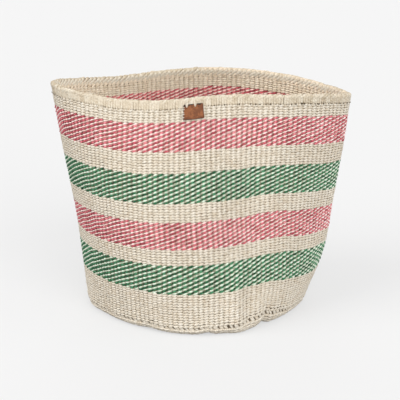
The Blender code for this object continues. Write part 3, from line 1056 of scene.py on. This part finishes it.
label_column_at = label_column()
print("label at column", round(float(label_column_at), 2))


# %% Leather finish
# Painted shade of the pits where the needle pulled the leather in, as shares of its width and
# height
PIT_SHADES = ((0.05, 0.93, 0.0), (0.24, 0.95, 0.0), (0.42, 1.00, 0.0), (0.70, 1.00, 0.0),
        (0.82, 0.95, 0.0))
PIT_SHADE_SIZE = (0.045, 0.115)    # from the middle to where it starts, and ends, growing lighter
PIT_SHADE_COLOUR = (0.030, 0.013, 0.007)
EDGES = (0.07, 0.09, 0.08, 0.10)     # the dark cut edges: left, right, bottom, top
EDGE_COLOUR = (0.100, 0.034, 0.014)


def leather():
    finish = Finish("label_leather")
    flat = finish.map("label")
    across, up = finish.parts(flat)
    left, right, bottom, top = EDGES
    inside = (finish.between(across, 0.0, left) * finish.between(1 - across, 0.0, right)
              * finish.between(up, 0.0, bottom) * finish.between(1 - up, 0.0, top))
    place_in = finish.place()
    grain = finish.noise(place_in, 2200, 3.0)
    patches = finish.noise(place_in, 170, 3.0)
    colour = finish.blend(finish.between(patches, 0.38, 0.60), (0.190, 0.063, 0.024),
                          (0.315, 0.112, 0.040))
    colour = finish.blend(finish.between(grain, 0.30, 0.56), (0.085, 0.028, 0.010), colour)
    colour = finish.blend(inside, EDGE_COLOUR, colour)
    # painted shade in the needle's pits
    for pit_shade_place in PIT_SHADES:
        away = finish.add("ShaderNodeVectorMath", {"operation": "DISTANCE"},
                          {0: flat, 1: pit_shade_place}, output=1)
        colour = finish.blend(finish.between(away, *PIT_SHADE_SIZE), PIT_SHADE_COLOUR, colour)
    finish.surface({
        "Base Color": colour,
        "Roughness": 0.55 + grain * 0.25,
        "Normal": finish.bump(grain + patches * 0.5, 0.0003, 0.6),
        "Specular IOR Level": 0.3,
    })
    return finish.material


# %% Leather patch
LABEL_CORNER = 0.0011
LABEL_EDGE = 0.0004      # rounding of the cut edge
LABEL_FLARE = 0.0022     # the right edge leans out by this much towards the bottom
NEEDLE_HOLES = ((-0.0088, 0.0040), (-0.0002, 0.0062), (0.0066, 0.0064), (-0.0095, -0.0070),
                (0.0098, -0.0066))
HOLE_DEPTH = 0.0012
HOLE_INSETS = (0.00018, 0.00012)     # width of a hole's rim, and of its sloping side
FRONT_ABOVE = 0.9        # a face whose normal points forwards by more belongs to the front
STRIPS = (18, 13)        # across and up
# The leather isn't quite flat: depth of its waves, radians for each metre across and up, and
# shares of that depth by which it moves up and forwards
SAG, SAG_WAVES, SAG_UP, SAG_FORWARDS = 0.0004, (300, 260), 0.4, 0.3


def round_off(bm, edges, radius, segments):
    bmesh.ops.bevel(bm, geom=edges, offset=radius, offset_type="OFFSET", segments=segments,
                    profile=0.5, affect="EDGES", material=-1)


def cut_into_strips(bm, size, axis, strips):
    normal = Vector((0, 0, 0))
    normal[axis] = 1
    for number in range(1, strips):
        geom = bm.verts[:] + bm.edges[:] + bm.faces[:]
        bmesh.ops.bisect_plane(bm, geom=geom, plane_no=normal,
                               plane_co=normal * size * (number / strips - 1 / 2))


def push_in_holes(bm):
    """Each hole is the nearest small face of the front, drawn in and pushed back."""
    front = [face for face in bm.faces if face.normal.z > FRONT_ABOVE]
    for across, up in NEEDLE_HOLES:
        centre = Vector((across, up, LABEL_THICK / 2))
        hole = min(front, key=lambda face: (face.calc_center_median() - centre).length)
        bmesh.ops.inset_individual(bm, faces=[hole], thickness=HOLE_INSETS[0], depth=0)
        bmesh.ops.inset_individual(bm, faces=[hole], thickness=HOLE_INSETS[1],
                                   depth=-HOLE_DEPTH)
        front = [face for face in bm.faces if face.normal.z > FRONT_ABOVE]


def flat_map(bm):
    """UV map that the leather reads: shares of the way across and up."""
    layer = bm.loops.layers.uv.new("label")
    for face in bm.faces:
        for loop in face.loops:
            x, y, _ = loop.vert.co
            loop[layer].uv = (x / LABEL_WIDTH + 0.5, y / LABEL_HEIGHT + 0.5)


def leather_patch():
    bm = bmesh.new()
    bmesh.ops.create_cube(bm, size=1)
    bmesh.ops.scale(bm, verts=bm.verts, vec=(LABEL_WIDTH, LABEL_HEIGHT, LABEL_THICK))
    corners = [edge for edge in bm.edges if edge.verts[0].co.xy == edge.verts[1].co.xy]
    round_off(bm, corners, LABEL_CORNER, 4)
    round_off(bm, [edge for edge in bm.edges if min(vert.co.z for vert in edge.verts) > 0],
              LABEL_EDGE, 3)
    for axis, size in enumerate((LABEL_WIDTH, LABEL_HEIGHT)):
        cut_into_strips(bm, size, axis, STRIPS[axis])
    bm.normal_update()
    push_in_holes(bm)
    flat_map(bm)
    for vert in bm.verts:
        x, y, z = vert.co
        x += LABEL_FLARE * (x / LABEL_WIDTH + 0.5) * (0.5 - y / LABEL_HEIGHT)
        sag = SAG * math.sin(SAG_WAVES[0] * x + 1) * math.cos(SAG_WAVES[1] * y)
        across, up, lift = (np.array([value]) for value in (x, y + SAG_UP * sag, z))
        vert.co = on_label(across, up, GAP + LABEL_THICK / 2 + lift + SAG_FORWARDS * sag)[0]
    finish_piece(bm, "leather_patch", leather(), ["leather_label"])


leather_patch()

# %% [markdown]
# ## Stitches of the label
# Sisal cord holds the label. Two thick stitches come over its top edge, and their two plies draw
# together to a point where the needle went in. A thinner cord is whipped round the left edge. The
# stitches are cords like those of the wall, laid from the wall over the leather's edge.

# %% Stitches
STITCH_RINGS = 15
TOP_STITCH_SHARES = (-0.34, 0.10)    # of the label's width
STITCH_ON_WALL, STITCH_ON_LEATHER = 0.0042, 0.0040
PLY_RADIUS = 0.00105
PLY_APART, PLY_SUNK = 0.9, 0.6       # from a stitch's middle, and over the wall, in that radius
PLY_MEETING, PLY_LATE = 0.45, 0.7    # how nearly they meet at the needle's hole, and how late
PLY_TAPER, PLY_THINNER = 0.62, 0.2   # shares of their size lost on the way, and on the wall
ONTO, DIVE = (0.15, 0.35), (0.75, 0.25)      # start and length of the climb, and of the dive
DIVE_DEPTH = 0.0009
# Turns round the edge, how far one reaches on both sides of it, its radius and its slant
WHIP_COUNT, WHIP_HOLD, WHIP_RADIUS, WHIP_SLANT = 5, 0.0018, 0.0006, 0.0007
WHIP_SUNK = 0.3
WHIP_SOON, WHIP_FLAT = 1.15, 0.5     # how soon a turn is down on the leather, and how flat
WHIP_UNEVEN = 0.0003


def label_stitches(name, nodes, material, across, up, lift, size):
    columns = np.full(up.shape, label_column_at)
    cords(name, nodes, material, on_label(across, up, lift),
          read(outward, columns, LABEL_MIDDLE + up), size, size, sides=FULL_SIDES)


def top_stitches():
    share = np.linspace(0, 1, STITCH_RINGS)[None, :]
    past = STITCH_ON_WALL - (STITCH_ON_WALL + STITCH_ON_LEATHER) * share
    middle = LABEL_WIDTH * np.repeat(TOP_STITCH_SHARES, 2)[:, None]
    side = np.array((-1, 1, -1, 1))[:, None]
    apart = PLY_RADIUS * PLY_APART * np.cos(PLY_MEETING * math.pi * share) ** PLY_LATE
    across = middle + side * apart
    onto = np.clip((share - ONTO[0]) / ONTO[1], 0, 1)
    onto = onto * onto * (3 - 2 * onto)
    dive = np.clip((share - DIVE[0]) / DIVE[1], 0, 1) ** 2
    lift = PLY_RADIUS * PLY_SUNK + (GAP + LABEL_THICK) * onto - DIVE_DEPTH * dive
    size = PLY_RADIUS * (1 - PLY_TAPER * share ** 3) * (1 - PLY_THINNER * (1 - onto))
    label_stitches("label_top_stitches", ["label_top_stitch_1", "label_top_stitch_2"], hem,
                   across, LABEL_HEIGHT / 2 + past + 0 * across, lift + 0 * across,
                   size * closed_ends(across.shape))


def whip_stitches():
    draw = np.random.default_rng(240)
    share = np.linspace(0, 1, STITCH_RINGS)[None, :]
    past = WHIP_HOLD * (1 - 2 * share) + draw.normal(0, WHIP_UNEVEN, (WHIP_COUNT, 1))
    number = np.arange(1, WHIP_COUNT + 1)[:, None]
    up = LABEL_HEIGHT * (number / (WHIP_COUNT + 1) - 0.5) + WHIP_SLANT * (share - 0.5)
    up = up + draw.normal(0, WHIP_UNEVEN, (WHIP_COUNT, 1))
    over = np.sin(math.pi * np.clip(share * WHIP_SOON, 0, 1)) ** WHIP_FLAT
    lift = WHIP_RADIUS * WHIP_SUNK + (GAP + LABEL_THICK) * over
    nodes = [f"label_side_stitch_{number}" for number in range(1, WHIP_COUNT + 1)]
    label_stitches("label_side_stitches", nodes, natural, -LABEL_WIDTH / 2 - past, up,
                   lift + 0 * up, WHIP_RADIUS * closed_ends(up.shape))


top_stitches()
whip_stitches()

# %% [markdown]
# ## Floor and light
# A plain pale floor, wide enough to fill the picture. Light Path tells the camera's own rays from
# those that light the basket. The camera sees the floor nearly white, with a faint shadow, and the
# basket gets less light from below, so that its sides turn a little darker than its front. A soft
# sky lights everything evenly. A broad sun from the front and one from the left give the stitches
# their shading, and weaker ones from the right and from behind open up the shadows.

# %% Floor
FLOOR_SIZE = 9           # half its width
FLOOR_LEVEL = -0.0003    # just under the lowest cords
FLOOR_GLOW = 0.577       # light that the floor seems to give by itself
FLOOR_TONE = 0.28        # its own colour under that light
FLOOR_BOUNCE = 0.24      # its colour as the basket sees it


def seen_directly(finish):
    """1 for rays from the camera or a mirror or glass, 0 for the rays that light things."""
    camera, glossy, transmitted = (finish.add("ShaderNodeLightPath", {}, {}, output=number)
                                   for number in (0, 3, 6))
    return finish.maths("MAXIMUM", finish.maths("MAXIMUM", camera, glossy), transmitted)


def floor_finish():
    finish = Finish("pale_floor")
    finish.surface({"Base Color": (FLOOR_BOUNCE,) * 3, "Roughness": 0.9,
                    "Specular IOR Level": 0.1})
    glowing = finish.add("ShaderNodeBsdfPrincipled", {}, {
        "Base Color": (FLOOR_TONE,) * 3, "Roughness": 0.9, "Specular IOR Level": 0.0,
        "Emission Color": (1.0, 1.0, 1.0), "Emission Strength": FLOOR_GLOW})
    lit = Wire(finish, finish.shader.outputs[0])
    mixed = finish.add("ShaderNodeMixShader", {}, {0: seen_directly(finish), 1: lit, 2: glowing})
    finish.connect(finish.tree.nodes["Material Output"].inputs["Surface"], mixed)
    return finish.material


def add_floor():
    bm = bmesh.new()
    bmesh.ops.create_grid(bm, x_segments=1, y_segments=1, size=FLOOR_SIZE)
    bmesh.ops.translate(bm, verts=bm.verts, vec=(0, 0, FLOOR_LEVEL))
    mesh = bpy.data.meshes.new("floor")
    bm.to_mesh(mesh)
    bm.free()
    mesh.materials.append(floor_finish())
    floor = add_object("floor", mesh)


# %% Sky and suns
SKY_STRENGTH = 0.50
SUN_SOFTNESS = math.radians(50)
# name, degrees round from the right end as seen from above, degrees up, strength
SUNS = (
    ("front_light", 292, 28, 2.08),
    ("left_light", 206, 34, 1.68),
    ("right_light", 345, 30, 0.25),
    ("back_light", 95, 16, 0.90),
)


def add_sky():
    world = bpy.data.worlds.new("sky")
    bpy.context.scene.world = world
    world.use_nodes = True
    background = world.node_tree.nodes["Background"]
    background.inputs["Color"].default_value = (1, 1, 1, 1)
    background.inputs["Strength"].default_value = SKY_STRENGTH


def add_sun(name, azimuth, elevation, strength):
    data = bpy.data.lights.new(name, "SUN")
    data.energy = strength
    data.angle = SUN_SOFTNESS
    sun = add_object(name, data)
    sun.rotation_euler = (0, math.radians(90 - elevation), math.radians(azimuth))


add_floor()
add_sky()
for sun in SUNS:
    add_sun(*sun)
bpy.context.scene.view_settings.view_transform = "Standard"
print("lights:", [sun[0] for sun in SUNS])
